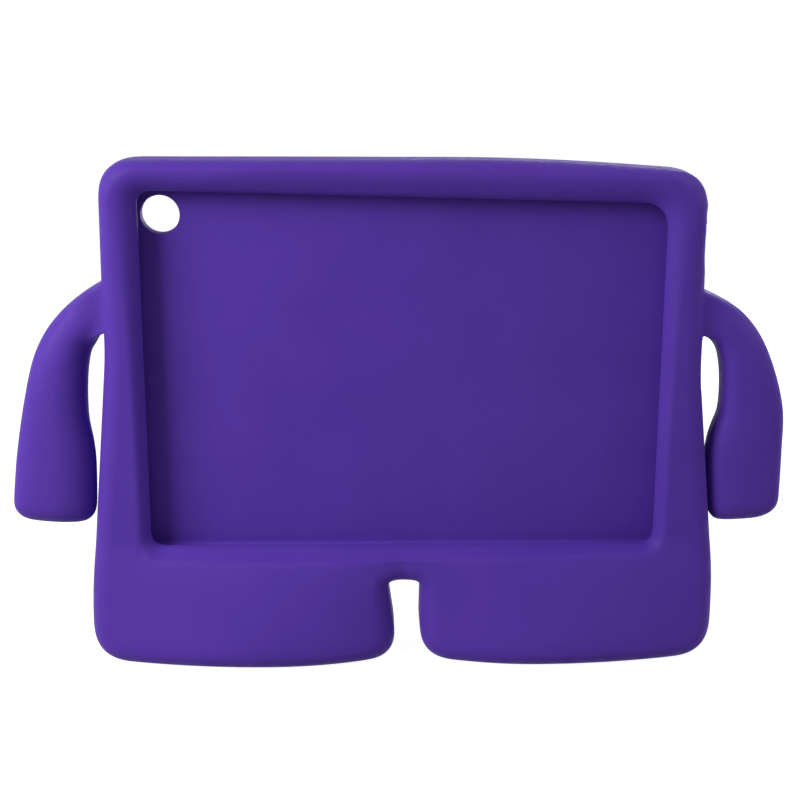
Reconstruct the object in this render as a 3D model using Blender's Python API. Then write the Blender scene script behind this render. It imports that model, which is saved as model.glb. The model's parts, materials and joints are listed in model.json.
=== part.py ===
"""Moulded foam case with a pocket in its front, two arms to hold it by and two feet to stand on.

One piece. X runs to the right, +Z up, and the pocket opens to -Y. The soles rest on Z = 0.
"""
import math
from collections import namedtuple

import bmesh
import bpy
from mathutils import Vector

# What the pocket is made to fit, and the room around it
HELD_WIDTH = 0.2506
HELD_HEIGHT = 0.1741
HELD_THICKNESS = 0.0075
POCKET_CLEARANCE = 0.0007
POCKET_DEPTH_CLEARANCE = 0.0005
POCKET_CORNER = 0.007
POCKET_FLOOR_ROUND = 0.0004

# Lip that overhangs the pocket's edge
LIP_SIDE = 0.0047
LIP_FOOT = 0.0030
LIP_TOP = 0.0012
LIP_TOP_DROOP = 0.0060
LIP_FOOT_DROOP = 0.0016
LIP_THICKNESS = 0.0025
LIP_EDGE_ROUND = 0.0005
LIP_CORNER = 0.007
LIP_LOOSE_CORNER = 0.012

# Frame around the pocket
CHIN_HEIGHT = 0.0538
SIDE_WALL = 0.0142
TOP_WALL = 0.0119
TOP_DROOP = 0.0048
DROOP_START_X = 0.040
DROOP_SOFTNESS = 0.030
FRAME_CORNER = 0.017
FRAME_LOOSE_CORNER = 0.019
FRAME_TAPER = 0.001
FRAME_EDGE_ROUND = 0.0085
FRONT_REACH = 0.015
RIDGE_HEIGHT = 0.0055
RIDGE_OFFSET = 0.0058
RIDGE_SHARE = 0.42
SLOPE_FULLNESS = 0.62
BACK_WALL = 0.012
WAIST_DROP = 0.028
WAIST_SOFTNESS = 0.010

# Feet
FOOT_SPREAD = 0.0115
FOOT_FLARE_Z = 0.026
FOOT_FLARE_SOFTNESS = 0.010
FOOT_DEPTH = 0.0605
FOOT_CURVE = 0.011
FOOT_CROWN_X = 0.065
FOOT_FLARE_DROP = 0.002
FOOT_STRAIGHT_HEIGHT = 0.012
FOOT_CORNER = 0.014
LEFT_FOOT_INNER_CORNER = 0.011
RIGHT_FOOT_INNER_CORNER = 0.018
FOOT_EDGE_ROUND = 0.011
LEG_GAP = 0.016
LEG_GAP_HEIGHT = 0.039
LEG_GAP_CORNER = 0.005
LEG_GAP_TAPER = 0.002

# Arms. A station is the drop below the root, the gap to the body's side and the width
ARM_ROOT_Z = 0.170
ARM_ROOT_HEIGHT = 0.030
ARM_ROOT_LEAVE = 0.8
ARM_ROOT_PULL = 0.4
ARM_SHOULDER = (0.0090, 0.0047, 0.0194)
LEFT_ELBOW = (0.0238, 0.0099, 0.0224)
LEFT_FOREARM = (0.0480, 0.0085, 0.0282)
LEFT_WRIST = (0.0700, 0.0044, 0.0343)
LEFT_HAND = (0.1012, 0.0022, 0.0368)
RIGHT_ELBOW = (0.0238, 0.0115, 0.0221)
RIGHT_FOREARM = (0.0480, 0.0101, 0.0288)
RIGHT_WRIST = (0.0700, 0.0030, 0.0347)
RIGHT_HAND = (0.1025, 0.0020, 0.0318)
ARM_DEPTH = 0.0236
ARM_SETBACK = 0.0024
ARM_SQUARENESS = 4.5
HAND_ROUND = 0.009

# Holes, each depth by height or as a radius
CAMERA_INSET = 0.013
CAMERA_RADIUS = 0.009
CAMERA_FLARE = 0.005
CAMERA_SQUARENESS = 2
CHARGE_HOLE = (0.0066, 0.013)
CHARGE_OFFSET_Z = 0.0
BUTTON_HOLE = (0.0066, 0.0085)
BUTTON_OFFSET_Z = 0.0595
JACK_HOLE = (0.0066, 0.0066)
JACK_OFFSET_Z = 0.0748
HOLE_FLARE = 0.0018
HOLE_FLARE_DEPTH = 0.0025
HOLE_SQUARENESS = 3
CUT_BEYOND = 0.002

# Cells along the stretches of the mesh
ROUND_CELLS = 4
FRONT_CELLS = 3
ROOT_CELLS = 4
ARM_CELLS_UP = 5
ARM_CELLS_ACROSS = 6
ARM_RINGS_PER_STATION = 3
HOLE_POINTS = 28

# Points of the inner outlines that face the gap between the feet, as shares of their half width
FACING_FOOT = 0.26
FACING_FOOT_CUT = 0.09
FACING_GAP = 0.075
FACING_GAP_CUT = 0.04
FACING_FLARE_RISE = 0.014
FACING_FLARE_CUT = 0.3
TIGHTEST_CUT = 0.15

# Places that follow from the sizes above
FOOT_REACH = FOOT_DEPTH / 2
RIDGE_Y = -FRONT_REACH
LIP_FRONT_Y = RIDGE_Y + RIDGE_HEIGHT
LIP_BACK_Y = LIP_FRONT_Y + LIP_THICKNESS
FLOOR_Y = LIP_BACK_Y + HELD_THICKNESS + POCKET_DEPTH_CLEARANCE
BACK_Y = FLOOR_Y + BACK_WALL
POCKET_HALF_WIDTH = HELD_WIDTH / 2 + POCKET_CLEARANCE
POCKET_TOP_Z = CHIN_HEIGHT + HELD_HEIGHT + 2 * POCKET_CLEARANCE
POCKET_CENTRE_Z = (CHIN_HEIGHT + POCKET_TOP_Z) / 2
FRAME_HALF_WIDTH = POCKET_HALF_WIDTH + SIDE_WALL
FRAME_TOP_Z = POCKET_TOP_Z + TOP_WALL
FOOT_HALF_WIDTH = FRAME_HALF_WIDTH + FOOT_SPREAD
LIP_HALF_WIDTH = POCKET_HALF_WIDTH - LIP_SIDE
LIP_TOP_Z = POCKET_TOP_Z - LIP_TOP
LIP_FOOT_Z = CHIN_HEIGHT + LIP_FOOT
WAIST_Z = ARM_ROOT_Z - WAIST_DROP
ARM_LOW_Z = ARM_ROOT_Z - ARM_ROOT_HEIGHT / 2
ARM_HIGH_Z = ARM_ROOT_Z + ARM_ROOT_HEIGHT / 2
LEG_LIP_Z = CHIN_HEIGHT + FACING_FLARE_RISE
GAP_HALF = LEG_GAP / 2

# A corner of an outline: its place, how far back the rounding starts, and the cells around it and on to the next
Corner = namedtuple("Corner", "x z cut around onward")


def outer_corners():
    """The outline seen from the front, counter-clockwise from the top of the gap between the feet."""
    side, foot, top = FRAME_HALF_WIDTH, FOOT_HALF_WIDTH, FRAME_TOP_Z
    right = [
        Corner(0, LEG_GAP_HEIGHT, 0, 0, 1),
        Corner(GAP_HALF, LEG_GAP_HEIGHT, LEG_GAP_CORNER, 2, 3),
        Corner(GAP_HALF, 0, RIGHT_FOOT_INNER_CORNER, 3, 9),
        Corner(foot, 0, FOOT_CORNER, 4, 1),
        Corner(foot, FOOT_FLARE_Z, FOOT_FLARE_SOFTNESS, 3, 7),
        Corner(side, WAIST_Z, WAIST_SOFTNESS, 2, 1),
        Corner(side, ARM_LOW_Z, 0, 0, ARM_CELLS_UP),
        Corner(side, ARM_HIGH_Z, 0, 0, 4),
        Corner(side - FRAME_TAPER, top - TOP_DROOP, FRAME_LOOSE_CORNER, 5, 5),
        Corner(DROOP_START_X, top, DROOP_SOFTNESS, 3, 9),
    ]
    left = [
        Corner(FRAME_TAPER - side, top, FRAME_CORNER, 5, 4),
        Corner(-side, ARM_HIGH_Z, 0, 0, ARM_CELLS_UP),
        Corner(-side, ARM_LOW_Z, 0, 0, 1),
        Corner(-side, WAIST_Z, WAIST_SOFTNESS, 2, 7),
        Corner(-foot, FOOT_FLARE_Z, FOOT_FLARE_SOFTNESS, 3, 1),
        Corner(-foot, 0, FOOT_CORNER, 4, 9),
        Corner(LEG_GAP_TAPER - GAP_HALF, 0, LEFT_FOOT_INNER_CORNER, 3, 3),
        Corner(-GAP_HALF, LEG_GAP_HEIGHT, LEG_GAP_CORNER, 2, 1),
    ]
    return right + left


def inner_corners(half_width, low, high, corner, loose_corner, low_droop=0.0, high_droop=0.0):
    """A rectangle's outline inside the frame, with a corner or a plain point for each corner of the outer one."""
    outer = outer_corners()
    foot_x = half_width * FACING_FOOT
    foot_cut = half_width * FACING_FOOT_CUT
    gap_x = half_width * FACING_GAP
    gap_cut = half_width * FACING_GAP_CUT
    lip_cut = FACING_FLARE_CUT * (LEG_LIP_Z - low)
    end_z = high - high_droop
    slope = high_droop / (2 * half_width)
    droop_z = high - slope * (half_width + DROOP_START_X)

    def foot_z(x):
        return low - low_droop * (1 - abs(x) / half_width)

    places = [
        (0, foot_z(0), 0),
        (gap_x, foot_z(gap_x), gap_cut),
        (foot_x, foot_z(foot_x), foot_cut),
        (half_width, low, corner),
        (half_width, LEG_LIP_Z, lip_cut),
        (half_width, WAIST_Z, WAIST_SOFTNESS),
        (half_width, ARM_LOW_Z, 0),
        (half_width, ARM_HIGH_Z, 0),
        (half_width, end_z, loose_corner),
        (DROOP_START_X, droop_z, DROOP_SOFTNESS),
        (-half_width, high, corner),
        (-half_width, ARM_HIGH_Z, 0),
        (-half_width, ARM_LOW_Z, 0),
        (-half_width, WAIST_Z, WAIST_SOFTNESS),
        (-half_width, LEG_LIP_Z, lip_cut),
        (-half_width, low, corner),
        (-foot_x, foot_z(foot_x), foot_cut),
        (-gap_x, foot_z(gap_x), gap_cut),
    ]
    return [Corner(x, z, cut, match.around, match.onward) for (x, z, cut), match in zip(places, outer)]


def side_x(z):
    """Distance from the middle to the body's side at a height, on the straight run from foot to waist."""
    share = min(max((z - FOOT_FLARE_Z) / (WAIST_Z - FOOT_FLARE_Z), 0.0), 1.0)
    return FOOT_HALF_WIDTH - FOOT_SPREAD * share


def inset(corners, distance):
    """The same outline moved inwards, its convex roundings tightened and its hollow ones widened to suit."""
    moved = []
    for index, corner in enumerate(corners):
        before = corners[index - 1]
        after = corners[(index + 1) % len(corners)]
        arriving = Vector((corner.x - before.x, corner.z - before.z)).normalized()
        leaving = Vector((after.x - corner.x, after.z - corner.z)).normalized()
        inward_arriving = Vector((-arriving.y, arriving.x))
        inward_leaving = Vector((-leaving.y, leaving.x))
        bend = 1 + inward_arriving.dot(inward_leaving)
        shift = (inward_arriving + inward_leaving) * (distance / bend)
        turn = (arriving.x * leaving.y - arriving.y * leaving.x) / bend
        cut = max(corner.cut - distance * turn, TIGHTEST_CUT * corner.cut)
        moved.append(corner._replace(x=corner.x + shift.x, z=corner.z + shift.y, cut=cut))
    return moved


def outline(corners):
    """Points along a closed outline, each rounding a quadratic curve between its two tangent points."""
    points = []
    for index, corner in enumerate(corners):
        before = corners[index - 1]
        after = corners[(index + 1) % len(corners)]
        place = Vector((corner.x, corner.z))
        back = (Vector((before.x, before.z)) - place).normalized() * corner.cut
        ahead = (Vector((after.x, after.z)) - place).normalized()
        start = place + back
        end = place + ahead * corner.cut
        for step in range(corner.around):
            t = step / corner.around
            points.append(start * (1 - t) ** 2 + place * (2 * t * (1 - t)) + end * t ** 2)
        next_start = Vector((after.x, after.z)) - ahead * after.cut
        for step in range(corner.onward):
            points.append(end.lerp(next_start, step / corner.onward))
    return points


def flare(z):
    """How far the body has widened into a foot at a height, from 0 under the chin to 1 above the sole."""
    high = CHIN_HEIGHT - FOOT_FLARE_DROP
    share = (high - z) / (high - FOOT_STRAIGHT_HEIGHT)
    share = min(max(share, 0.0), 1.0)
    return share * share * (3 - 2 * share)


def foot_reach(x):
    """Reach of a foot in front of and behind the middle, most at its crown and less towards its ends."""
    away = (abs(x) - FOOT_CROWN_X) / (FOOT_HALF_WIDTH - FOOT_CROWN_X)
    return FOOT_REACH - FOOT_CURVE * away * away


def front_y(x, z):
    """Depth of the front face."""
    return RIDGE_Y - (foot_reach(x) + RIDGE_Y) * flare(z)


def back_y(x, z):
    """Depth of the back face."""
    return BACK_Y + (foot_reach(x) - BACK_Y) * flare(z)


def edge_round(z, width):
    """Radius of the body's outer edges at a height, limited by the width of the bar there."""
    radius = FRAME_EDGE_ROUND + (FOOT_EDGE_ROUND - FRAME_EDGE_ROUND) * flare(z)
    return min(radius, width / 2)


def body_rings():
    """Rings of points over the skin, from the pocket floor over the front to the back, and which one runs mid-side."""
    outer = outline(outer_corners())
    outer_inset = outline(inset(outer_corners(), FRAME_EDGE_ROUND))
    lip_corners = inner_corners(LIP_HALF_WIDTH, LIP_FOOT_Z, LIP_TOP_Z, LIP_CORNER, LIP_LOOSE_CORNER,
                                LIP_FOOT_DROOP, LIP_TOP_DROOP)
    lip = outline(lip_corners)
    lip_behind = outline(inset(lip_corners, -LIP_EDGE_ROUND))
    ridge_line = outline(inset(lip_corners, -RIDGE_OFFSET))
    pocket_corners = inner_corners(POCKET_HALF_WIDTH, CHIN_HEIGHT, POCKET_TOP_Z, POCKET_CORNER, POCKET_CORNER)
    pocket = outline(pocket_corners)
    pocket_floor = outline(inset(pocket_corners, POCKET_FLOOR_ROUND))

    rings = [
        [(p.x, FLOOR_Y, p.y) for p in pocket_floor],
        [(p.x, FLOOR_Y - POCKET_FLOOR_ROUND, p.y) for p in pocket],
        [(p.x, LIP_BACK_Y, p.y) for p in pocket],
        [(p.x, LIP_BACK_Y, p.y) for p in lip_behind],
        [(p.x, LIP_BACK_Y - LIP_THICKNESS / 2, p.y) for p in lip],
        [(p.x, LIP_FRONT_Y, p.y) for p in lip_behind],
    ]

    ridge = []
    shoulder = []
    radii = []
    for edge, edge_inset, hold, crest in zip(outer, outer_inset, lip, ridge_line):
        width = (edge - hold).length
        ridge.append(hold.lerp(crest, min(1.0, RIDGE_SHARE * width / RIDGE_OFFSET)))
        radius = edge_round(edge.y, width)
        radii.append(radius)
        shoulder.append(edge.lerp(edge_inset, radius / FRAME_EDGE_ROUND))

    slope = []
    for hold, crest in zip(lip, ridge):
        p = hold.lerp(crest, 0.5)
        slope.append((p.x, LIP_FRONT_Y + SLOPE_FULLNESS * (front_y(crest.x, crest.y) - LIP_FRONT_Y), p.y))
    rings.append(slope)
    for step in range(FRONT_CELLS):
        across = [crest.lerp(edge, step / FRONT_CELLS) for crest, edge in zip(ridge, shoulder)]
        rings.append([(p.x, front_y(p.x, p.y), p.y) for p in across])

    front_shoulder = []
    back_shoulder = []
    for step in range(ROUND_CELLS + 1):
        angle = math.pi / 2 * step / ROUND_CELLS
        front_ring = []
        back_ring = []
        for edge, start, radius in zip(outer, shoulder, radii):
            p = edge.lerp(start, 1 - math.sin(angle))
            sink = radius * (1 - math.cos(angle))
            front_ring.append((p.x, front_y(p.x, p.y) + sink, p.y))
            back_ring.append((p.x, back_y(p.x, p.y) - sink, p.y))
        front_shoulder.append(front_ring)
        back_shoulder.append(back_ring)
    rings += front_shoulder
    side_ring = len(rings)
    rings += [[tuple((a + b) / 2 for a, b in zip(*pair)) for pair in zip(front_shoulder[-1], back_shoulder[-1])]]
    rings += back_shoulder[::-1]
    back_line = [start.lerp(crest, 0.5) for start, crest in zip(shoulder, ridge)]
    rings.append([(p.x, back_y(p.x, p.y), p.y) for p in back_line])
    rings.append([(p.x, BACK_Y, p.y) for p in ridge])
    return rings, side_ring


def catmull_rom(stations, index, t):
    """Point and direction a share of the way past a station, on a smooth curve through all stations."""
    a = stations[max(index - 1, 0)]
    b = stations[index]
    c = stations[index + 1]
    d = stations[min(index + 2, len(stations) - 1)]
    leave = (c - a) / 2
    reach = (d - b) / 2
    point = b * (2 * t ** 3 - 3 * t ** 2 + 1) + leave * (t ** 3 - 2 * t ** 2 + t)
    point += c * (3 * t ** 2 - 2 * t ** 3) + reach * (t ** 3 - t ** 2)
    direction = b * (6 * t ** 2 - 6 * t) + leave * (3 * t ** 2 - 4 * t + 1)
    direction += c * (6 * t - 6 * t ** 2) + reach * (3 * t ** 2 - 2 * t)
    return point, direction


def arm_sections(profile):
    """Centre, direction, half width and inset of each section from the shoulder to the end of the hand."""
    stations = [Vector((FRAME_HALF_WIDTH, ARM_ROOT_Z, ARM_SHOULDER[2] / 2))]
    for drop, gap, width in profile:
        z = ARM_ROOT_Z - drop
        stations.append(Vector((side_x(z) + gap + width / 2, z, width / 2)))
    sections = []
    for index in range(1, len(stations) - 1):
        steps = ARM_RINGS_PER_STATION
        if index == len(stations) - 2:
            steps = 1
        for step in range(steps):
            point, direction = catmull_rom(stations, index, step / ARM_RINGS_PER_STATION)
            sections.append((point, direction, 0.0))
    end, direction = catmull_rom(stations, len(stations) - 2, 1.0)
    down = Vector((direction.x, direction.y)).normalized()
    for step in range(ROUND_CELLS + 1):
        angle = math.pi / 2 * step / ROUND_CELLS
        back = HAND_ROUND * (1 - math.sin(angle))
        point = Vector((end.x - down.x * back, end.y - down.y * back, end.z))
        sections.append((point, direction, HAND_ROUND * (1 - math.cos(angle))))
    return sections


def arm_ring(section, places, side):
    """Points around one section of an arm, on a rounded square stretched to its width and depth."""
    point, direction, shrink = section
    along = Vector((direction.x, direction.y)).normalized()
    up = Vector((-along.y, along.x))
    centre_y = RIDGE_Y + ARM_SETBACK + ARM_DEPTH / 2
    ring = []
    for rise, depth in places:
        reach = (abs(rise) ** ARM_SQUARENESS + abs(depth) ** ARM_SQUARENESS) ** (1 / ARM_SQUARENESS)
        across = (point.z - shrink) * rise / reach
        y = centre_y + (ARM_DEPTH / 2 - shrink) * depth / reach
        ring.append(Vector((side * (point.x + up.x * across), y, point.y + up.y * across)))
    return ring


def add_arm(bm, rings, side, low, high, front, back, profile):
    """Joins an arm to the window left in the body's side, with a soft turn at its root."""
    border = [rings[k][low] for k in range(front, back)]
    border += [rings[back][i] for i in between(low, high)]
    border += [rings[k][high] for k in range(back, front, -1)]
    border += [rings[front][i] for i in between(high, low)]
    rise_steps = abs(high - low)
    depth_steps = back - front
    places = [(-1, 2 * k / depth_steps - 1) for k in range(depth_steps)]
    places += [(2 * i / rise_steps - 1, 1) for i in range(rise_steps)]
    places += [(1, 1 - 2 * k / depth_steps) for k in range(depth_steps)]
    places += [(1 - 2 * i / rise_steps, -1) for i in range(rise_steps)]

    sections = arm_sections(profile)
    first = arm_ring(sections[0], places, side)
    direction = Vector((side * sections[0][1].x, 0, sections[0][1].y)).normalized()
    middle = sum((vert.co for vert in border), Vector()) / len(border)
    loops = [border]
    for step in range(1, ROOT_CELLS):
        share = step / ROOT_CELLS
        loop = []
        for vert, target in zip(border, first):
            length = (target - vert.co).length
            inward = (middle - vert.co).normalized() * ARM_ROOT_PULL
            leave = (Vector((side, 0, 0)) + inward) * length * ARM_ROOT_LEAVE
            reach = direction * length
            point = vert.co * (2 * share ** 3 - 3 * share ** 2 + 1) + leave * (share ** 3 - 2 * share ** 2 + share)
            point += target * (3 * share ** 2 - 2 * share ** 3) + reach * (share ** 3 - share ** 2)
            loop.append(bm.verts.new(point))
        loops.append(loop)
    for section in sections:
        loops.append([bm.verts.new(point) for point in arm_ring(section, places, side)])
    for near, far in zip(loops, loops[1:]):
        join_rings(bm, near, far)
    bm.faces.new(loops[-1])


def between(first, last):
    """Indices from the first up to but not including the last, in either direction."""
    return range(first, last, 1 if last > first else -1)


def join_rings(bm, near, far, skip=()):
    """Faces between two closed rings of as many points, apart from the cells to skip."""
    count = len(near)
    for i in range(count):
        if i not in skip:
            j = (i + 1) % count
            bm.faces.new((near[i], near[j], far[j], far[i]))


def corner_start(corners, x, z):
    """Index of the outline's point at a corner without rounding, found by its place."""
    number = [(corner.x, corner.z) for corner in corners].index((x, z))
    return sum(corner.around + corner.onward for corner in corners[:number])


def foam_material():
    material = bpy.data.materials.new("purple_foam")
    material.use_nodes = True
    shader = material.node_tree.nodes["Principled BSDF"]
    shader.inputs["Base Color"].default_value = (0.088, 0.038, 0.320, 1)
    shader.inputs["Roughness"].default_value = 0.6
    return material


def make_case():
    """The whole moulded piece, before its holes."""
    corners = outer_corners()
    bm = bmesh.new()
    skin, side_ring = body_rings()
    rings = [[bm.verts.new(point) for point in ring] for ring in skin]
    front = side_ring - ARM_CELLS_ACROSS // 2
    back = side_ring + ARM_CELLS_ACROSS // 2
    right_low = corner_start(corners, FRAME_HALF_WIDTH, ARM_LOW_Z)
    left_high = corner_start(corners, -FRAME_HALF_WIDTH, ARM_HIGH_Z)
    windows = set(range(right_low, right_low + ARM_CELLS_UP)) | set(range(left_high, left_high + ARM_CELLS_UP))
    for index, (near, far) in enumerate(zip(rings, rings[1:])):
        join_rings(bm, near, far, windows if front <= index < back else ())
    bm.faces.new(rings[0])
    bm.faces.new(rings[-1])
    right_arm = (ARM_SHOULDER, RIGHT_ELBOW, RIGHT_FOREARM, RIGHT_WRIST, RIGHT_HAND)
    left_arm = (ARM_SHOULDER, LEFT_ELBOW, LEFT_FOREARM, LEFT_WRIST, LEFT_HAND)
    add_arm(bm, rings, 1, right_low, right_low + ARM_CELLS_UP, front, back, right_arm)
    add_arm(bm, rings, -1, left_high + ARM_CELLS_UP, left_high, front, back, left_arm)
    bmesh.ops.recalc_face_normals(bm, faces=bm.faces)
    return bm


def make_cutter(name, axis, centre, sections, squareness):
    """A tapering plug along X or Y, from sections of distance along the axis, half size across and half height."""
    bm = bmesh.new()
    loops = []
    for along, half_across, half_height in sections:
        loop = []
        for index in range(HOLE_POINTS):
            angle = 2 * math.pi * index / HOLE_POINTS
            c, s = math.cos(angle), math.sin(angle)
            reach = (abs(c) ** squareness + abs(s) ** squareness) ** (1 / squareness)
            across = half_across * c / reach
            up = half_height * s / reach
            place = (along, across, up) if axis == "X" else (across, along, up)
            loop.append(bm.verts.new(Vector(centre) + Vector(place)))
        loops.append(loop)
    for near, far in zip(loops, loops[1:]):
        join_rings(bm, near, far)
    bm.faces.new(loops[0])
    bm.faces.new(loops[-1])
    bmesh.ops.recalc_face_normals(bm, faces=bm.faces)
    mesh = bpy.data.meshes.new(name)
    bm.to_mesh(mesh)
    bm.free()
    cutter = bpy.data.objects.new(name, mesh)
    cutter.hide_render = True
    cutter.display_type = "WIRE"
    bpy.context.collection.objects.link(cutter)
    return cutter


def hole_cutters(middle_x):
    """Plugs for the camera window in the back and for the three holes in the right side."""
    camera_x = middle_x - HELD_WIDTH / 2 + CAMERA_INSET
    camera_z = POCKET_CENTRE_Z + HELD_HEIGHT / 2 - CAMERA_INSET
    wide = CAMERA_RADIUS + CAMERA_FLARE
    cutters = [make_cutter("camera_cutter", "Y", (camera_x, 0, camera_z), [
        (FLOOR_Y - CUT_BEYOND, CAMERA_RADIUS, CAMERA_RADIUS),
        (BACK_Y - CAMERA_FLARE, CAMERA_RADIUS, CAMERA_RADIUS),
        (BACK_Y, wide, wide),
        (BACK_Y + CUT_BEYOND, wide, wide),
    ], CAMERA_SQUARENESS)]
    pocket_side = middle_x + POCKET_HALF_WIDTH
    outer_side = middle_x + FRAME_HALF_WIDTH
    centre_y = (LIP_BACK_Y + FLOOR_Y) / 2
    holes = (("charge_cutter", CHARGE_HOLE, CHARGE_OFFSET_Z), ("button_cutter", BUTTON_HOLE, BUTTON_OFFSET_Z),
             ("jack_cutter", JACK_HOLE, JACK_OFFSET_Z))
    for name, (depth, height), offset in holes:
        half_depth, half_height = depth / 2, height / 2
        cutters.append(make_cutter(name, "X", (0, centre_y, POCKET_CENTRE_Z + offset), [
            (pocket_side - CUT_BEYOND, half_depth, half_height),
            (outer_side - HOLE_FLARE_DEPTH, half_depth, half_height),
            (outer_side, half_depth + HOLE_FLARE, half_height + HOLE_FLARE),
            (outer_side + CUT_BEYOND, half_depth + HOLE_FLARE, half_height + HOLE_FLARE),
        ], HOLE_SQUARENESS))
    return cutters


def main():
    for old in list(bpy.data.objects):
        bpy.data.objects.remove(old, do_unlink=True)

    bm = make_case()
    # The arms reach out unequally, so the body moves sideways until the whole is centred
    reach = [vert.co.x for vert in bm.verts]
    middle_x = -(min(reach) + max(reach)) / 2
    bmesh.ops.translate(bm, verts=bm.verts, vec=(middle_x, 0, 0))
    mesh = bpy.data.meshes.new("foam_case")
    bm.to_mesh(mesh)
    bm.free()
    mesh.materials.append(foam_material())
    mesh.shade_smooth()
    case = bpy.data.objects.new("foam_case", mesh)
    bpy.context.collection.objects.link(case)
    for cutter in hole_cutters(middle_x):
        boolean = case.modifiers.new(cutter.name, "BOOLEAN")
        boolean.object = cutter
        boolean.operation = "DIFFERENCE"
        boolean.solver = "EXACT"


main()
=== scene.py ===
# A moulded foam case with two arms and two feet: its skin as one fine mesh, its foam, the light and the camera.
# Metres, X to the right, Z up, the pocket opens to -Y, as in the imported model.
import json
import math

import bmesh
import bpy
import numpy as np
from mathutils import Matrix, Vector
from mathutils.geometry import delaunay_2d_cdt


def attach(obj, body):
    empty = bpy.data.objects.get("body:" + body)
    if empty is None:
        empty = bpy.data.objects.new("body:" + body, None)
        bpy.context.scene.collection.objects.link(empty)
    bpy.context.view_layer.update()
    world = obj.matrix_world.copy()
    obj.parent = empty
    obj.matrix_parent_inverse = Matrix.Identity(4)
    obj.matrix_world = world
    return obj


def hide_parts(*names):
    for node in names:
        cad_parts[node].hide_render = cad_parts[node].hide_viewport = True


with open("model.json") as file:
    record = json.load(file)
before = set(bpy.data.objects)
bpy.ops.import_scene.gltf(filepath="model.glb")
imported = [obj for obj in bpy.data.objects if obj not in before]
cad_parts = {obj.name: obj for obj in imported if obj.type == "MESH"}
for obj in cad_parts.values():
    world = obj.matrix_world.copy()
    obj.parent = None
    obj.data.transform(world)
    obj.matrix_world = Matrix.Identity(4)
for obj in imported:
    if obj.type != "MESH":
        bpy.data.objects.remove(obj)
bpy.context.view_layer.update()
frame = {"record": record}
openings = {opening["name"]: np.array(opening["box_m"]) for opening in frame["record"]["physics"]["openings"]}
middleX = openings["pocket_full_width"][:, 0].mean()  # the frame's middle stands beside x = 0, as the arms differ

# The frame around the pocket. A cut is how far a corner's rounding starts from the corner, and an inset outline keeps
# at least leastCut of it. A slope between lip and crest has its width, its power and the lip's own depth; to the right
# the upper one widens and the lower one narrows, each between two values of x. The shares keep crest and shoulder from
# meeting where the frame is slim. The lip's foot dips in the middle, and dipX and dipCut are shares of its half width.
body = {
    "pocketHalfWidth": 0.1260, "pocketLow": 0.0538, "pocketHigh": 0.2293, "pocketCut": 0.007,
    "floorY": 0.0010, "floorRound": 0.0006, "floorInset": 0.0030,
    "lipBackY": -0.0070, "lipRound": 0.0008,
    "lipSide": 0.0047, "lipFoot": 0.0030, "lipFootDroop": 0.0016, "lipTop": 0.0012, "lipTopDroop": 0.0060,
    "lipCut": 0.0070, "lipLooseCut": 0.0125, "dipX": (0, 0.075, 0.26), "dipCut": (0, 0.04, 0.09),
    "leftWall": 0.0139, "rightWall": 0.0145, "topWall": 0.0125, "topDroop": 0.0058,
    "droopStartX": 0.060, "droopCut": 0.042, "cornerCut": 0.017, "looseCut": 0.016, "leastCut": 0.15,
    "taper": 0.0014,
    "slopeSide": (0.0058, 2.0, -0.0096), "slopeTop": (0.0044, 1.7, -0.0093), "slopeFoot": (0.0054, 1.0, -0.0095),
    "slopeRise": 0.95, "topWiden": 0.25, "topWidenX": (-0.092, -0.055), "footNarrow": 0.5,
    "footNarrowX": (-0.047, 0.095), "crestShare": 0.74, "roundInShare": 0.8, "roundDeepShare": 0.5,
    "frontY": -0.0150, "backY": 0.0130, "roundIn": 0.0085, "roundDeep": 0.0085, "backRim": 0.0020,
    "leftWaistZ": 0.152, "rightWaistZ": 0.142, "waistCut": 0.008, "waistIn": 0.0005, "waistPointZ": 0.0678,
    "waistPointCut": 0.3,
}
feet = {
    "leftSpread": 0.0108, "rightSpread": 0.0110, "leftFlareZ": 0.033, "rightFlareZ": 0.042, "flareCut": 0.012,
    "leftReach": 0.0316, "rightReach": 0.0302,
    "outerCurve": 0.0130, "leftInnerCurve": 0.0180, "rightInnerCurve": 0.0330,
    "crownX": 0.065, "flareHigh": 0.0575, "flareLow": 0.0100, "flarePower": 0.75, "backLower": 0.0075,
    "cut": 0.0180, "leftInnerCut": 0.0145, "rightInnerCut": 0.0155, "round": 0.0080,
    "gapLeftX": -0.0074, "gapRightX": 0.0086, "gapHigh": 0.0385, "gapCut": 0.0036,
    "leftTaper": 0.0053, "rightTaper": 0.0005,
}
# An arm's root is a window in the side from low to high, and windowRows on from the first rows of both shoulders. Its
# stations: drop below rootZ, gap to the body's side, width, depth of its middle, and how square the outer half of its
# section is, as innerSquareness for the inner half: 2 is round. The lean moves the hand's rounding towards the body.
arms = {
    "rootZ": 0.170, "depth": 0.0236, "handRound": 0.0094, "handRings": 6, "step": 0.0042, "curvePoints": 400,
    "leave": 0.8, "pull": 0.4, "droop": 0.9, "turnRings": 5, "windowRows": (4, 3),
    "right": {"low": 0.1605, "high": 0.1808, "innerSquareness": 2.7, "lean": 0.5, "stations": [
        (0.0090, 0.0044, 0.0202, 0.0010, 2.3), (0.0238, 0.0100, 0.0240, -0.0002, 2.5),
        (0.0480, 0.0085, 0.0309, -0.0008, 2.8), (0.0700, 0.0010, 0.0367, -0.0008, 3.0),
        (0.1027, 0.0004, 0.0338, -0.0008, 3.2)]},
    "left": {"low": 0.1622, "high": 0.1850, "innerSquareness": 1.75, "lean": 0.1, "stations": [
        (0.0090, 0.0028, 0.0222, 0.0010, 2.2), (0.0238, 0.0074, 0.0262, -0.0002, 2.4),
        (0.0480, 0.0065, 0.0312, -0.0008, 2.7), (0.0700, 0.0021, 0.0377, -0.0008, 3.0),
        (0.1024, 0.0004, 0.0403, -0.0008, 3.2)]},
}
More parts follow.
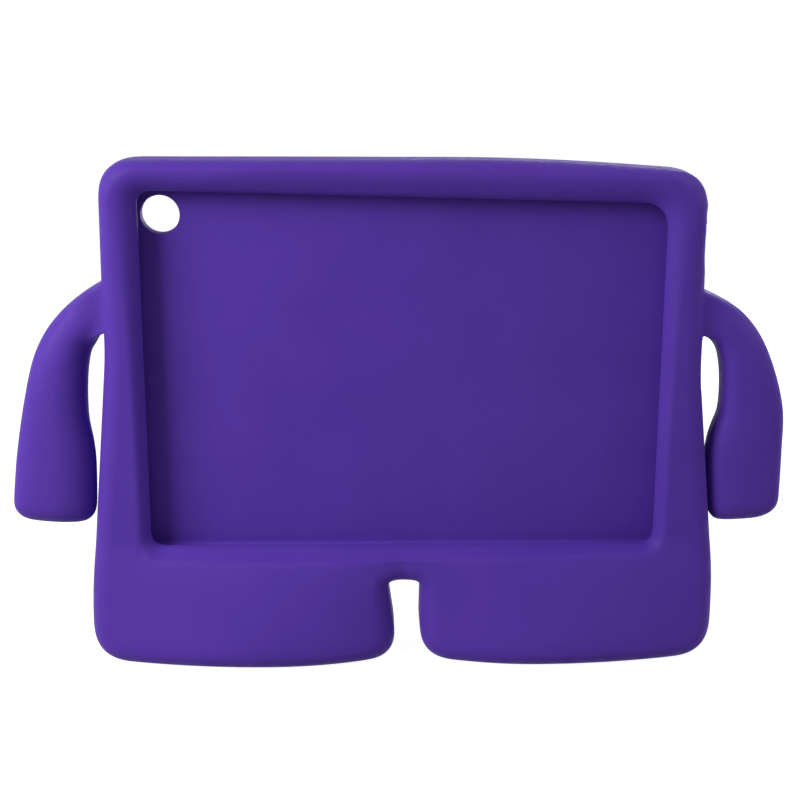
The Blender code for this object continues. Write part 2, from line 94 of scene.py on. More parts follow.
# Holes through the right wall, button and jack each in a shallow hollow. Counted in the grid's columns from a corner,
# cells say where a hole's window in the side starts and where the one in the pocket's wall, and how wide both are.
sideHoles = {
    "y": -0.0030, "halfDepth": 0.0031, "squareness": 3.0, "rim": 0.0015, "rimDeep": 0.0020, "seat": 0.0003,
    "hollow": 0.0013, "hollowHalfDepth": 0.0070, "firstRow": 5, "rows": 5,
    "rimTurns": (0, 30, 60, 90), "neck": (0.33, 0.66, 0.96, 1.0),
    "charge": {"z": 0.14155, "halfHeight": 0.0065, "cells": (0, 0, 8)},
    "button": {"z": 0.20105, "halfHeight": 0.0042, "hollowHalfHeight": 0.0075, "cells": (5, 4, 6)},
    "jack": {"z": 0.21635, "halfHeight": 0.0032, "hollowHalfHeight": 0.0042, "cells": (13, 11, 4)},
}
# The window in the back, and the lattice of the two flat sheets around it
backWindow = {
    "x": -0.1123, "z": 0.2156, "radius": 0.009, "rim": 0.0006, "flare": 0.005, "points": 72,
    "sheetSpacing": 0.007, "sheetMargin": 0.3,
}
# Rows of the skin's grid over each stretch from the pocket's floor to the back, with the lip's shares and turns in
# degrees. rimNear is how far from its depth a rim's point may lie, and points within the other two are one.
skin = {
    "wall": 6, "lipShares": (0.15, 0.55, 0.95), "lipTurns": (30, 80), "slope": 6, "slopeStart": 0.1, "face": 9,
    "shoulder": 7, "side": 4, "back": 9, "rimNear": 2e-4, "cutNear": 1e-7, "mergeNear": 3e-6,
}

leftX = -body["pocketHalfWidth"] - body["leftWall"]
sideX = body["pocketHalfWidth"] + body["rightWall"]
topZ = body["pocketHigh"] + body["topWall"]
footX = sideX + feet["rightSpread"]

# Grid cells around each corner of an outline and on to the next, counter-clockwise from above the gap of the feet
cornerCells = np.array([(0, 2), (3, 8), (7, 36), (7, 3), (4, 24), (8, 2), (0, 12), (0, 16), (9, 22), (10, 40),
                        (9, 15), (0, 12), (0, 2), (4, 24), (4, 3), (7, 36), (7, 8), (3, 2)])
cornerColumn = np.concatenate(([0], np.cumsum(cornerCells.sum(1))))
waist, armLow, armHigh, topRight, leftArmHigh = 5, 6, 7, 8, 11  # numbers of the corners that windows start from


# A vector over its own length.
def unit(v):
    return v / np.linalg.norm(v, axis=-1, keepdims=True)


# (1 - t) a + t b.
def mix(a, b, t):
    return a + (b - a) * t


# A closed outline through corners (x, z, cut): around a corner it is (1-t)^2 start + 2t(1-t) corner + t^2 end between
# the points a cut away on both sides, and a straight run leads on to the next corner's start.
def roundedOutline(corners):
    place, cut = corners[:, :2], corners[:, 2:]
    ahead = unit(np.roll(place, -1, 0) - place)
    start, end = place - np.roll(ahead, 1, 0) * cut, place + ahead * cut
    following = np.roll(start, -1, 0)
    runs = []
    for i, (around, onward) in enumerate(cornerCells):
        t = np.arange(around)[:, None] / max(around, 1)
        runs.append((1 - t) ** 2 * start[i] + 2 * t * (1 - t) * place[i] + t ** 2 * end[i])
        runs.append(mix(end[i], following[i], np.arange(onward)[:, None] / onward))
    return np.concatenate(runs)


# The corners moved inwards: each by (in + out) * distance / (1 + in . out), with in and out the inward directions of
# its two sides; the cut shrinks at a convex corner and grows at a hollow one.
def insetCorners(corners, distance):
    place, cut = corners[:, :2], corners[:, 2]
    leaving = unit(np.roll(place, -1, 0) - place)
    arriving = np.roll(leaving, 1, 0)
    inLeaving = np.stack((-leaving[:, 1], leaving[:, 0]), 1)
    inArriving = np.stack((-arriving[:, 1], arriving[:, 0]), 1)
    bend = 1 + (inLeaving * inArriving).sum(1)
    turn = (arriving[:, 0] * leaving[:, 1] - arriving[:, 1] * leaving[:, 0]) / bend
    moved = place + (inLeaving + inArriving) * (distance / bend)[:, None]
    return np.column_stack((moved, np.maximum(cut - distance * turn, body["leastCut"] * cut)))


# The case's own outline seen from the front.
def outerCorners():
    waistCut, waistIn, taper = body["waistCut"], body["waistIn"], body["taper"]
    flareCut, high = feet["flareCut"], feet["gapHigh"]
    right, left, leftFoot = arms["right"], arms["left"], leftX - feet["leftSpread"]
    return np.array([
        (0, high, 0), (feet["gapRightX"], high, feet["gapCut"]),
        (feet["gapRightX"] - feet["rightTaper"], 0, feet["rightInnerCut"]),
        (footX, 0, feet["cut"]), (footX, feet["rightFlareZ"], flareCut), (sideX, body["rightWaistZ"], waistCut),
        (sideX, right["low"], 0), (sideX - waistIn, right["high"], 0),
        (sideX - taper, topZ - body["topDroop"], body["looseCut"]),
        (body["droopStartX"], topZ, body["droopCut"]), (leftX + taper, topZ, body["cornerCut"]),
        (leftX + waistIn, left["high"], 0), (leftX + waistIn, left["low"], 0),
        (leftX + waistIn, body["leftWaistZ"], waistCut),
        (leftFoot, feet["leftFlareZ"], flareCut), (leftFoot, 0, feet["cut"]),
        (feet["gapLeftX"] + feet["leftTaper"], 0, feet["leftInnerCut"]), (feet["gapLeftX"], high, feet["gapCut"]),
    ])


# A rectangle inside the frame with as many corners as the outer outline. Its foot dips in the middle and its top falls
# to the right, each in proportion to x.
def innerCorners(half, low, high, cut, looseCut, lowDroop=0.0, highDroop=0.0):
    x, dipCut = half * np.array(body["dipX"]), half * np.array(body["dipCut"])
    z = low - lowDroop * (1 - x / half)
    side, waistCut = body["waistPointZ"], body["waistCut"]
    sideCut = body["waistPointCut"] * (side - low)
    droopZ = high - highDroop * (half + body["droopStartX"]) / (2 * half)
    right, left = arms["right"], arms["left"]
    return np.array([
        (0, z[0], 0), (x[1], z[1], dipCut[1]), (x[2], z[2], dipCut[2]),
        (half, low, cut), (half, side, sideCut), (half, body["rightWaistZ"], waistCut),
        (half, right["low"], 0), (half, right["high"], 0),
        (half, high - highDroop, looseCut), (body["droopStartX"], droopZ, body["droopCut"]),
        (-half, high, cut), (-half, left["high"], 0),
        (-half, left["low"], 0), (-half, body["leftWaistZ"], waistCut), (-half, side, sideCut), (-half, low, cut),
        (-x[2], z[2], dipCut[2]), (-x[1], z[1], dipCut[1]),
    ])


# From frame to foot: s^power, with s the share of the way down from the ledge.
def flare(z):
    return np.clip((feet["flareHigh"] - z) / (feet["flareHigh"] - feet["flareLow"]), 0, 1) ** feet["flarePower"]


# A foot's reach to the front and to the back: reach - curve * (distance from the crown / foot's half width)^2, with
# another curve on the crown's inner side; reach and inner curve change evenly from the left crown to the right one.
def footReach(x):
    away = (np.abs(x) - feet["crownX"]) / (footX - feet["crownX"])
    share = np.clip(0.5 + x / (2 * feet["crownX"]), 0, 1)
    curve = np.where(away > 0, feet["outerCurve"], mix(feet["leftInnerCurve"], feet["rightInnerCurve"], share))
    return mix(feet["leftReach"], feet["rightReach"], share) - curve * away ** 2


# Depth of the front and of the back over points (x, z); the back's flare starts lower and softly, as the square.
def frontDepth(p):
    return body["frontY"] - (footReach(p[..., 0]) + body["frontY"]) * flare(p[..., 1])


def backDepth(p):
    return body["backY"] + (footReach(p[..., 0]) - body["backY"]) * flare(p[..., 1] + feet["backLower"]) ** 2


# Points (x, z) with a depth as points (x, y, z).
def atDepth(p, y):
    return np.stack((p[..., 0], np.broadcast_to(y, p[..., 0].shape), p[..., 1]), -1)


# How deep the right side lies under sideX: a quarter ellipse towards the front, roundIn * (1 - sqrt(1 - d^2)), and
# the hollows, hollow * exp(-(z/h)^4 - (y/k)^4) around each hole.
def sideSink(y, z, rounding=True):
    d = np.clip((body["frontY"] + body["roundDeep"] - y) / body["roundDeep"], 0, 1)
    sink = body["roundIn"] * (1 - np.sqrt(1 - d ** 2)) * rounding
    for hole in (sideHoles["button"], sideHoles["jack"]):
        fall = ((z - hole["z"]) / hole["hollowHalfHeight"]) ** 4
        fall = fall + ((y - sideHoles["y"]) / sideHoles["hollowHalfDepth"]) ** 4
        sink = sink + sideHoles["hollow"] * np.exp(-fall)
    return sink


# The skin as a grid: each row is one ring around the frame, from the pocket's floor up its wall, around the lip, over
# slope, front and shoulder to the side, and in over the back. The slope rises as 1 - (1-s)^power from lip to crest, its
# settings mixed by the square of the ring's upward direction. The frame's width is (edge - lip) . outward, and limits
# both slope and shoulder. A shoulder is a quarter ellipse between face and side.
def skinGrid():
    outer = outerCorners()
    edge = roundedOutline(outer)
    edgeIn = roundedOutline(insetCorners(outer, body["roundIn"]))
    lipCorners = innerCorners(body["pocketHalfWidth"] - body["lipSide"], body["pocketLow"] + body["lipFoot"],
                              body["pocketHigh"] - body["lipTop"], body["lipCut"], body["lipLooseCut"],
                              body["lipFootDroop"], body["lipTopDroop"])
    lip = roundedOutline(lipCorners)
    lipOut = roundedOutline(insetCorners(lipCorners, -body["lipRound"]))
    lipWide = roundedOutline(insetCorners(lipCorners, -body["slopeSide"][0]))
    pocketCorners = innerCorners(body["pocketHalfWidth"], body["pocketLow"], body["pocketHigh"],
                                 body["pocketCut"], body["pocketCut"])
    pocket = roundedOutline(pocketCorners)

    outward = unit(lipWide - lip)
    width = ((edge - lip) * outward).sum(1, keepdims=True)
    up = outward[:, 1:]
    top, foot = np.clip(up, 0, 1) ** 2, np.clip(-up, 0, 1) ** 2
    slopes = (1 - top - foot) * np.array(body["slopeSide"]) + top * body["slopeTop"] + foot * body["slopeFoot"]
    offset, slopePower, lipFrontY = slopes.T
    height = (lip[:, 1:] - body["pocketLow"]) / (body["pocketHigh"] - body["pocketLow"])
    offset = offset[:, None] * (1 + body["slopeRise"] * np.clip(height, 0, 1) ** 3)
    offset *= 1 + top * np.interp(lip[:, :1], body["topWidenX"], (0, body["topWiden"]))
    offset *= 1 - foot * np.interp(lip[:, :1], body["footNarrowX"], (0, body["footNarrow"]))
    offset = np.minimum(offset, body["crestShare"] * width)
    crest = mix(lip, lipWide, offset / body["slopeSide"][0])
    grow = flare(edge[:, 1:])
    roundIn = np.minimum(mix(body["roundIn"], feet["round"], grow), body["roundInShare"] * (width - offset))
    roundDeep = np.minimum(mix(body["roundDeep"], feet["round"], grow), body["roundDeepShare"] * width)[:, 0]
    shoulder = mix(edge, edgeIn, roundIn / body["roundIn"])
    rim = roundedOutline(innerCorners(body["pocketHalfWidth"] + body["backRim"], body["pocketLow"] - body["backRim"],
                                      body["pocketHigh"] + body["backRim"], body["pocketCut"], body["pocketCut"],
                                      0, body["lipTopDroop"]))

    rows, first = [], {}
    for inset in (body["floorInset"], body["floorRound"]):
        rows.append(atDepth(roundedOutline(insetCorners(pocketCorners, inset)), body["floorY"]))
    first["wall"] = len(rows)
    for y in np.linspace(body["floorY"] - body["floorRound"], body["lipBackY"] + body["floorRound"], skin["wall"]):
        rows.append(atDepth(pocket, y))
    for share in skin["lipShares"]:
        rows.append(atDepth(mix(pocket, lipOut, share), body["lipBackY"]))
    for turn in np.radians(skin["lipTurns"]):
        rows.append(atDepth(mix(lip, lipOut, 1 - math.sin(turn)),
                            body["lipBackY"] - body["lipRound"] * (1 - math.cos(turn))))
    rows.append(atDepth(lip, lipFrontY + body["lipRound"]))
    for share in np.linspace(skin["slopeStart"], 1, skin["slope"] + 1)[:-1]:
        rise = 1 - (1 - share) ** slopePower
        rows.append(atDepth(mix(lip, crest, share), mix(lipFrontY, frontDepth(crest), rise)))
    for share in np.arange(skin["face"]) / skin["face"]:
        p = mix(crest, shoulder, share)
        rows.append(atDepth(p, frontDepth(p)))
    angles = np.linspace(0, math.pi / 2, skin["shoulder"])
    first["shoulder"] = len(rows)
    for angle in angles:
        p = mix(edge, shoulder, 1 - math.sin(angle))
        rows.append(atDepth(p, frontDepth(p) + roundDeep * (1 - math.cos(angle))))
    frontSide, backSide = rows[-1], atDepth(edge, backDepth(edge) - roundDeep)
    for share in np.arange(1, skin["side"] + 1) / (skin["side"] + 1):
        rows.append(mix(frontSide, backSide, share))
    first["backShoulder"] = len(rows)
    for angle in angles[::-1]:
        p = mix(edge, shoulder, 1 - math.sin(angle))
        rows.append(atDepth(p, backDepth(p) - roundDeep * (1 - math.cos(angle))))
    for share in np.arange(1, skin["back"] + 1) / skin["back"]:
        p = mix(shoulder, rim, share)
        rows.append(atDepth(p, backDepth(p)))

    grid = np.stack(rows)
    side = grid[first["shoulder"]:, cornerColumn[armHigh]:cornerColumn[topRight + 1]]
    near = np.clip((side[..., 0] - sideX + body["roundIn"]) / body["roundIn"], 0, 1)
    side[..., 0] -= sideSink(side[..., 1], side[..., 2], False) * near
    return grid, first


# Points and faces of the mesh under way, and the grid's cells that windows leave open
grid, firstRow = skinGrid()
gridRows, gridColumns = grid.shape[:2]
gridIndex = np.arange(gridRows * gridColumns).reshape(gridRows, gridColumns)
gridOpen = np.zeros((gridRows - 1, gridColumns), bool)
meshPoints, meshFaces = [grid.reshape(-1, 3)], []


# Adds an array of points and gives their numbers, counted on from those before, in the same shape.
def addPoints(points):
    start = sum(len(part) for part in meshPoints)
    meshPoints.append(points.reshape(-1, 3))
    return np.arange(start, start + points.size // 3).reshape(points.shape[:-1])


# Quads between each two neighbouring rings of as many points.
def addTube(rings):
    for near, far in zip(rings, rings[1:]):
        meshFaces.append(np.stack((near, np.roll(near, -1), np.roll(far, -1), far), 1))


# Rows and columns read once around the edge of a block of cells.
def blockEdge(r0, r1, c0, c1):
    r, c = np.arange(r0, r1), np.arange(c0, c1)
    rows = np.concatenate((r, np.full(len(c), r1), r[::-1] + 1, np.full(len(c), r0)))
    columns = np.concatenate((np.full(len(r), c0), c, np.full(len(r), c1), c[::-1] + 1))
    return rows, columns


# A closed ring of 2(n + m) points filled as a grid: the sum of its two ruled surfaces less the bilinear one.
def addCap(ring, points, n, m):
    left, low = points[:n + 1], points[n:n + m + 1]
    right, high = points[n + m:2 * n + m + 1][::-1], np.concatenate((points[2 * n + m:], points[:1]))[::-1]
    u, v = (np.arange(1, n) / n)[:, None, None], (np.arange(1, m) / m)[None, :, None]
    ruled = mix(left[1:-1, None], right[1:-1, None], v) + mix(high[None, 1:-1], low[None, 1:-1], u)
    index = np.empty((n + 1, m + 1), int)
    index[1:-1, 1:-1] = addPoints(ruled - mix(mix(left[0], right[0], v), mix(left[-1], right[-1], v), u))
    index[blockEdge(0, n, 0, m)] = ring
    meshFaces.append(np.stack((index[:-1, :-1], index[:-1, 1:], index[1:, 1:], index[1:, :-1]), -1).reshape(-1, 4))


# A smooth curve through stations at u, counted in stations: Hermite between two of them, each with half the step
# from the one before to the one after as its slope. Gives points and slopes.
def stationCurve(stations, u):
    i = np.clip(u.astype(int), 0, len(stations) - 2)
    t = (u - i)[:, None]
    b, c = stations[i], stations[i + 1]
    leave = (c - stations[np.maximum(i - 1, 0)]) / 2
    reach = (stations[np.minimum(i + 2, len(stations) - 1)] - b) / 2
    point = b * (2 * t ** 3 - 3 * t ** 2 + 1) + leave * (t ** 3 - 2 * t ** 2 + t)
    slope = b * (6 * t ** 2 - 6 * t) + leave * (3 * t ** 2 - 4 * t + 1)
    return (point + c * (3 * t ** 2 - 2 * t ** 3) + reach * (t ** 3 - t ** 2),
            slope + c * (6 * t - 6 * t ** 2) + reach * (3 * t ** 2 - 2 * t))


# An arm's sections: |rise|^n + |deep|^n = 1 stretched to width and depth and set square to the curve through the
# stations. The hand ends as a quarter circle: R(1 - sin a) short of the tip, the section is R(1 - cos a) smaller.
def armSections(side, arm, places):
    root, stations = sideX if side > 0 else -leftX, arm["stations"]
    table = [(root, arms["rootZ"]) + (stations[0][2] / 2,) + stations[0][3:]]
    name = "right" if side > 0 else "left"
    flareZ, waistZ, spread = feet[name + "FlareZ"], body[name + "WaistZ"], feet[name + "Spread"]
    for drop, gap, width, middle, power in stations:
        z = arms["rootZ"] - drop
        share = np.clip((z - flareZ) / (waistZ - flareZ), 0, 1)
        table.append((root + spread * (1 - share) + gap + width / 2, z, width / 2, middle, power))
    table = np.array(table)
    fine = np.linspace(1, len(table) - 1, arms["curvePoints"])
    path = stationCurve(table, fine)[0]
    length = np.concatenate(([0], np.cumsum(np.linalg.norm(np.diff(path[:, :2], axis=0), axis=1))))
    straight = length[-1] - arms["handRound"]
    count = round(straight / arms["step"])
    angles = np.linspace(0, math.pi / 2, arms["handRings"])
    end = length[-1] - arms["handRound"] * (1 - np.sin(angles))
    stops = np.concatenate((np.arange(count) / count * straight, end))
    shrink = np.concatenate((np.zeros(count), arms["handRound"] * (1 - np.cos(angles))))[:, None]
    point, slope = stationCurve(table, np.interp(stops, length, fine))
    along = unit(slope[:, :2])
    power = np.where(places[:, 0] > 0, point[:, 4:], arm["innerSquareness"])
    rise, deep = (place / (np.abs(places) ** power[..., None]).sum(2) ** (1 / power) for place in places.T)
    across = (point[:, 2:3] - shrink) * rise
    x = side * (point[:, :1] - arm["lean"] * shrink - along[:, 1:] * across)
    y = point[:, 3:4] + (arms["depth"] / 2 - shrink) * deep
    z = point[:, 1:2] + along[:, :1] * across
    return np.stack((x, y, z), 2), np.array((side * along[0, 0], 0, along[0, 1]))


# An arm grows out of a window in the side: Hermite curves lead from its edge to the first section, leaving outwards,
# a little towards the window's middle and, low in the window, downwards; they arrive along the arm.
def growArm(side, arm, c0, c1):
    r0, r1 = firstRow["shoulder"] + arms["windowRows"][0], firstRow["backShoulder"] + arms["windowRows"][1]
    rows, columns = blockEdge(r0, r1, c0, c1)
    gridOpen[r0:r1, c0:c1] = True
    deep = 2 * (rows - r0) / (r1 - r0) - 1
    rise = side * (2 * (columns - c0) / (c1 - c0) - 1)
    sections, direction = armSections(side, arm, np.stack((rise, deep), 1))
    start = grid[rows, columns]
    reach = np.linalg.norm(sections[0] - start, axis=1, keepdims=True)
    outwards = np.stack((np.full(len(rise), side), 0 * rise, arms["droop"] * (rise - 1) / 2), 1)
    leave = (outwards + unit(start.mean(0) - start) * arms["pull"]) * arms["leave"] * reach
    t = (np.arange(1, arms["turnRings"] + 1) / (arms["turnRings"] + 1))[:, None, None]
    turn = (2 * t ** 3 - 3 * t ** 2 + 1) * start + (t ** 3 - 2 * t ** 2 + t) * leave
    turn += (3 * t ** 2 - 2 * t ** 3) * sections[0] + (t ** 3 - t ** 2) * direction * reach
    rings = [gridIndex[rows, columns]] + list(addPoints(turn)) + list(addPoints(sections))
    addTube(rings)
    addCap(rings[-1], sections[-1], r1 - r0, c1 - c0)


# A hole through the right wall: rings |up|^n + |deep|^n = 1 of half size + rim (1 - sin a), rimDeep (1 - cos a) under
# the side, then straight in to the pocket's wall, where the inner window has as many cells.
def cutSideHole(hole, corner):
    r0, w0, n = firstRow["shoulder"] + sideHoles["firstRow"], firstRow["wall"], sideHoles["rows"]
    outerStart, innerStart, cells = hole["cells"]
    outerColumn, innerColumn = cornerColumn[corner] + outerStart, cornerColumn[corner] + innerStart
    rows, columns = blockEdge(0, n, 0, cells)
    gridOpen[r0:r0 + n, outerColumn:outerColumn + cells] = True
    gridOpen[w0:w0 + n, innerColumn:innerColumn + cells] = True
    places = np.stack((2 * columns / cells - 1, 2 * rows / n - 1), 1)
    power = sideHoles["squareness"]
    places = places / (np.abs(places) ** power).sum(1, keepdims=True) ** (1 / power)
    angles = np.radians(sideHoles["rimTurns"])[:, None]
    neck = np.array(sideHoles["neck"])[:, None]
    grow = np.concatenate((sideHoles["rim"] * (1 - np.sin(angles)), sideHoles["seat"] * (neck == 1)))
    z = hole["z"] + (hole["halfHeight"] + grow) * places[:, 0]
    y = sideHoles["y"] + (sideHoles["halfDepth"] + grow) * places[:, 1]
    x = sideX - sideSink(y[:len(angles)], z[:len(angles)]) - sideHoles["rimDeep"] * (1 - np.cos(angles))
    x = np.concatenate((x, mix(x[-1], body["pocketHalfWidth"], neck)))
    lining = list(addPoints(np.stack((x, y, z), 2)))
    addTube([gridIndex[r0 + rows, outerColumn + columns]] + lining + [gridIndex[w0 + n - rows, innerColumn + columns]])


growArm(1, arms["right"], cornerColumn[armLow], cornerColumn[armHigh])
growArm(-1, arms["left"], cornerColumn[leftArmHigh], cornerColumn[leftArmHigh + 1])
cutSideHole(sideHoles["charge"], waist)
cutSideHole(sideHoles["button"], armHigh)
cutSideHole(sideHoles["jack"], armHigh)
around = np.roll(gridIndex, -1, 1)
skinCells = np.stack((gridIndex[:-1], gridIndex[1:], around[1:], around[:-1]), -1)[~gridOpen]
print("scene: skin of", sum(len(part) for part in meshPoints), "points")


# A mesh from points and faces of three or four corners.
def newMesh(name, points, faces):
    mesh = bpy.data.meshes.new(name)
    mesh.from_pydata(points.tolist(), [], faces.tolist())
    return mesh


# One smoothing step of Subdivision Surface over the open skin.
def smoothSkin():
    mesh = newMesh("openSkin", np.concatenate(meshPoints), np.concatenate([skinCells] + meshFaces))
    holder = bpy.data.objects.new("openSkin", mesh)
    bpy.context.scene.collection.objects.link(holder)
    step = holder.modifiers.new("smooth", "SUBSURF")
    step.levels = step.render_levels = 1
    fine = bpy.data.meshes.new_from_object(holder.evaluated_get(bpy.context.evaluated_depsgraph_get()))
    bpy.data.objects.remove(holder)
    bpy.data.meshes.remove(mesh)
    return fine


# The circle of the window in the back at a radius and a depth.
def windowCircle(radius, y):
    t = 2 * math.pi * np.arange(backWindow["points"]) / backWindow["points"]
    return np.stack((backWindow["x"] + radius * np.cos(t), y + 0 * t, backWindow["z"] + radius * np.sin(t)), 1)


# A flat sheet at one depth between a rim of the skin and the window's circle, triangulated with a lattice inside.
def flatSheet(rim, circle, y):
    spacing = backWindow["sheetSpacing"]
    rim, circle = rim[:, ::2], circle[:, ::2]
    low, high = rim.min(0) + spacing / 2, rim.max(0) - spacing / 2
    lattice = np.stack(np.meshgrid(np.arange(low[0], high[0], spacing), np.arange(low[1], high[1], spacing)), 2)
    lattice = lattice.reshape(-1, 2)
    centre = np.array((backWindow["x"], backWindow["z"]))
    radius = np.linalg.norm(circle[0] - centre)
    lattice = lattice[np.linalg.norm(lattice - centre, axis=1) > radius + backWindow["sheetMargin"] * spacing]
    edges = [(i, (i + 1) % len(rim)) for i in range(len(rim))]
    edges += [(len(rim) + i, len(rim) + (i + 1) % len(circle)) for i in range(len(circle))]
    found = delaunay_2d_cdt([Vector(p) for p in np.concatenate((rim, circle, lattice))], edges, [], 1,
                             skin["cutNear"])
    points, faces = np.array([tuple(p) for p in found[0]]), np.array(found[2])
    away = np.linalg.norm(points[faces].mean(1) - centre, axis=1)
    return atDepth(points, y), faces[away > radius * math.cos(math.pi / len(circle))]


# The skin's open rim at one depth, its points in their order around it.
def orderedRim(bm, y):
    links = {}
    for edge in bm.edges:
        if edge.is_boundary and abs(edge.verts[0].co.y - y) < skin["rimNear"]:
            a, b = edge.verts
            links.setdefault(a, []).append(b)
            links.setdefault(b, []).append(a)
    start = vert = next(iter(links))
    before, ring = None, []
    while vert is not start or not ring:
        ring.append(tuple(vert.co))
        before, vert = vert, next(other for other in links[vert] if other is not before)
    return np.array(ring)


# The case in one mesh: the smoothed skin, the window's lining and the two sheets, merged where they meet. The lining's
# rings have radius + rim (1 - sin a) at the floor's depth + rim (1 - cos a), and likewise with the flare at the back.
def makeCase():
    fine = smoothSkin()
    bm = bmesh.new()
    bm.from_mesh(fine)
    bpy.data.meshes.remove(fine)
    angles = np.radians(np.arange(0, 91, 15))
    frontRings = [windowCircle(backWindow["radius"] + backWindow["rim"] * (1 - math.sin(a)),
                               body["floorY"] + backWindow["rim"] * (1 - math.cos(a))) for a in angles[::2]]
    backRings = [windowCircle(backWindow["radius"] + backWindow["flare"] * (1 - math.sin(a)),
                              body["backY"] - backWindow["flare"] * (1 - math.cos(a))) for a in angles[::-1]]
    lining = np.stack(frontRings + backRings)
    index = np.arange(lining.size // 3).reshape(lining.shape[:2])
    onward = np.roll(index, -1, 1)
    parts = [(lining.reshape(-1, 3), np.stack((index[:-1], index[1:], onward[1:], onward[:-1]), -1).reshape(-1, 4))]
    for circle, y in ((frontRings[0], body["floorY"]), (backRings[-1], body["backY"])):
        parts.append(flatSheet(orderedRim(bm, y), circle, y))
    for points, faces in parts:
        extra = newMesh("sheet", points, faces)
        bm.from_mesh(extra)
        bpy.data.meshes.remove(extra)
    bmesh.ops.remove_doubles(bm, verts=bm.verts, dist=skin["mergeNear"])
    bmesh.ops.recalc_face_normals(bm, faces=bm.faces)
    print("scene: case has", sum(len(face.verts) - 2 for face in bm.faces), "triangles,",
          sum(not edge.is_manifold for edge in bm.edges), "open edges")
    bmesh.ops.translate(bm, verts=bm.verts, vec=(middleX, 0, 0))
    mesh = bpy.data.meshes.new("foamCase")
    bm.to_mesh(mesh)
    bm.free()
    mesh.shade_smooth()
    case = bpy.data.objects.new("foamCase", mesh)
    bpy.context.scene.collection.objects.link(case)
    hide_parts("foam_case")
    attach(case, "root")
    return case


# The foam: a deep violet with faint clouding, a satin skin whose roughness follows its dimples, and a fine closed-cell
# grain. Each noise has the settings of its own node.
foam = {
    "dark": (0.094, 0.0355, 0.372, 1), "light": (0.104, 0.0400, 0.402, 1), "darkAt": 0.30, "lightAt": 0.70,
    "cloud": {"Scale": 22.0, "Detail": 3.0, "Roughness": 0.5},
    "dimple": {"Scale": 260.0, "Detail": 2.0, "Roughness": 0.5}, "dimpleHeight": 0.00010,
    "grain": {"Scale": 1500.0, "Detail": 2.0, "Roughness": 0.6}, "grainHeight": 0.00006,
    "roughness": {"From_Min": 0.3, "From_Max": 0.7, "To_Min": 0.52, "To_Max": 0.66},
    "specular": 0.14, "sheen": 0.03, "sheenRoughness": 0.45,
}


# A node with its settings, or else the values of its inputs, by name.
def addNode(tree, kind, **values):
    node = tree.nodes.new(kind)
    for name, value in values.items():
        if hasattr(node, name):
            setattr(node, name, value)
        else:
            node.inputs[name.replace("_", " ")].default_value = value
    return node


# Colour = a ramp over the clouds, roughness = low + (high - low) * dimples, normal = dimples and grain as bumps.
def foamMaterial():
    material = bpy.data.materials.new("violetFoam")
    material.use_nodes = True
    tree = material.node_tree
    shader = tree.nodes["Principled BSDF"]
    place = addNode(tree, "ShaderNodeTexCoord")
    cloud, grain, dimple = (addNode(tree, "ShaderNodeTexNoise", **foam[name]) for name in ("cloud", "grain", "dimple"))
    for noise in (cloud, grain, dimple):
        tree.links.new(place.outputs["Object"], noise.inputs["Vector"])
    colour = addNode(tree, "ShaderNodeValToRGB")
    for stop, name in zip(colour.color_ramp.elements, ("dark", "light")):
        stop.position, stop.color = foam[name + "At"], foam[name]
    tree.links.new(cloud.outputs["Fac"], colour.inputs["Fac"])
    tree.links.new(colour.outputs["Color"], shader.inputs["Base Color"])
    rough = addNode(tree, "ShaderNodeMapRange", **foam["roughness"])
    tree.links.new(dimple.outputs["Fac"], rough.inputs["Value"])
    tree.links.new(rough.outputs["Result"], shader.inputs["Roughness"])
    coarse = addNode(tree, "ShaderNodeBump", Distance=foam["dimpleHeight"])
    fine = addNode(tree, "ShaderNodeBump", Distance=foam["grainHeight"])
    tree.links.new(dimple.outputs["Fac"], coarse.inputs["Height"])
    tree.links.new(coarse.outputs["Normal"], fine.inputs["Normal"])
    tree.links.new(grain.outputs["Fac"], fine.inputs["Height"])
    tree.links.new(fine.outputs["Normal"], shader.inputs["Normal"])
    shader.inputs["Specular IOR Level"].default_value = foam["specular"]
    shader.inputs["Sheen Weight"].default_value = foam["sheen"]
    shader.inputs["Sheen Roughness"].default_value = foam["sheenRoughness"]
    return material


case = makeCase()
case.data.materials.append(foamMaterial())
print("scene: case and foam")

# Floor and light. Both floor and world are brighter for the camera than for the case. A lamp has its power, size and
# place, and all look at lampAim.
stage = {
    "floorHalf": 6.0, "floorColour": (0.40, 0.40, 0.40, 1), "floorRoughness": 0.9, "floorGlow": 0.94,
    "worldStrength": 0.18, "white": (1, 1, 1, 1), "lampAim": (0, 0, 0.12),
    "lamps": {
        "key": (6.2, 0.40, (-0.64, -0.43, 0.52)),
        "fill": (2.1, 0.45, (0.70, -0.14, 0.58)),
        "back": (2.8, 0.50, (0.25, 0.85, 0.16)),
    },
}


# The largest of three: is it a ray from the camera, off gloss or through glass. One or nought.
def seenRays(tree):
    rays = addNode(tree, "ShaderNodeLightPath")
    seen = rays.outputs["Is Camera Ray"]
    for name in ("Is Glossy Ray", "Is Transmission Ray"):
        either = addNode(tree, "ShaderNodeMath", operation="MAXIMUM")
        tree.links.new(seen, either.inputs[0])
        tree.links.new(rays.outputs[name], either.inputs[1])
        seen = either.outputs["Value"]
    return seen


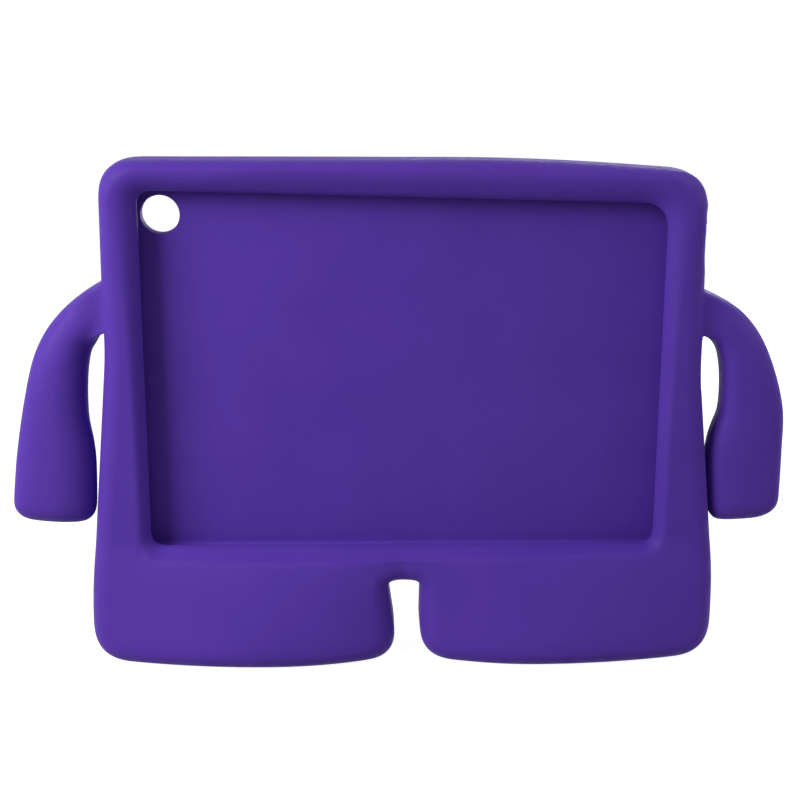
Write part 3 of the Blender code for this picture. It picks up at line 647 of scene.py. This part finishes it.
# A flat floor of half size floorHalf whose glow is floorGlow * seen, a world of worldStrength + (1 - worldStrength) *
# seen, and the lamps.
def makeStage():
    half = stage["floorHalf"]
    corners = np.array([(-half, -half, 0), (half, -half, 0), (half, half, 0), (-half, half, 0)])
    floor = bpy.data.objects.new("floor", newMesh("floor", corners, np.array([(0, 1, 2, 3)])))
    bpy.context.scene.collection.objects.link(floor)
    paper = bpy.data.materials.new("palePaper")
    paper.use_nodes = True
    tree = paper.node_tree
    shader = tree.nodes["Principled BSDF"]
    shader.inputs["Base Color"].default_value = stage["floorColour"]
    shader.inputs["Roughness"].default_value = stage["floorRoughness"]
    shader.inputs["Specular IOR Level"].default_value = 0.0
    shader.inputs["Emission Color"].default_value = stage["white"]
    glow = addNode(tree, "ShaderNodeMath", operation="MULTIPLY")
    tree.links.new(seenRays(tree), glow.inputs[0])
    glow.inputs[1].default_value = stage["floorGlow"]
    tree.links.new(glow.outputs["Value"], shader.inputs["Emission Strength"])
    floor.data.materials.append(paper)

    world = bpy.data.worlds.new("studio")
    bpy.context.scene.world = world
    world.use_nodes = True
    tree = world.node_tree
    background = tree.nodes["Background"]
    background.inputs["Color"].default_value = stage["white"]
    strength = addNode(tree, "ShaderNodeMapRange", To_Min=stage["worldStrength"], To_Max=1.0)
    tree.links.new(seenRays(tree), strength.inputs["Value"])
    tree.links.new(strength.outputs["Result"], background.inputs["Strength"])

    for name, (power, size, place) in stage["lamps"].items():
        light = bpy.data.lights.new(name, "AREA")
        light.energy, light.size = power, size
        lamp = bpy.data.objects.new(name, light)
        lamp.location = place
        lamp.rotation_euler = (Vector(stage["lampAim"]) - lamp.location).to_track_quat("-Z", "Y").to_euler()
        bpy.context.scene.collection.objects.link(lamp)


# The camera stands at azimuth and elevation around its aim, in degrees, and is rolled about its own axis
view = {
    "azimuth": -1.364, "elevation": 15.594, "roll": 0.182,
    "distance": 0.71919, "aim": (0.0005, 0, 0.12689), "lens": 67.77,
}


# It looks along (-sin a cos e, cos a cos e, -sin e), its level side turned by the roll, from aim - distance * look.
def makeCamera():
    azimuth, elevation, roll = (math.radians(view[name]) for name in ("azimuth", "elevation", "roll"))
    forward = Vector((-math.sin(azimuth) * math.cos(elevation), math.cos(azimuth) * math.cos(elevation),
                      -math.sin(elevation)))
    level = Vector((math.cos(azimuth), math.sin(azimuth), 0))
    up = level.cross(forward)
    right = level * math.cos(roll) + up * math.sin(roll)
    up = up * math.cos(roll) - level * math.sin(roll)
    camera = bpy.data.objects.new("camera", bpy.data.cameras.new("camera"))
    camera.data.lens = view["lens"]
    turned = Matrix((right, up, -forward)).transposed().to_4x4()
    camera.matrix_world = Matrix.Translation(Vector(view["aim"]) - forward * view["distance"]) @ turned
    bpy.context.scene.collection.objects.link(camera)
    bpy.context.scene.camera = camera


makeStage()
makeCamera()
bpy.context.scene.view_settings.view_transform = "Standard"
print("scene: floor, light and camera")
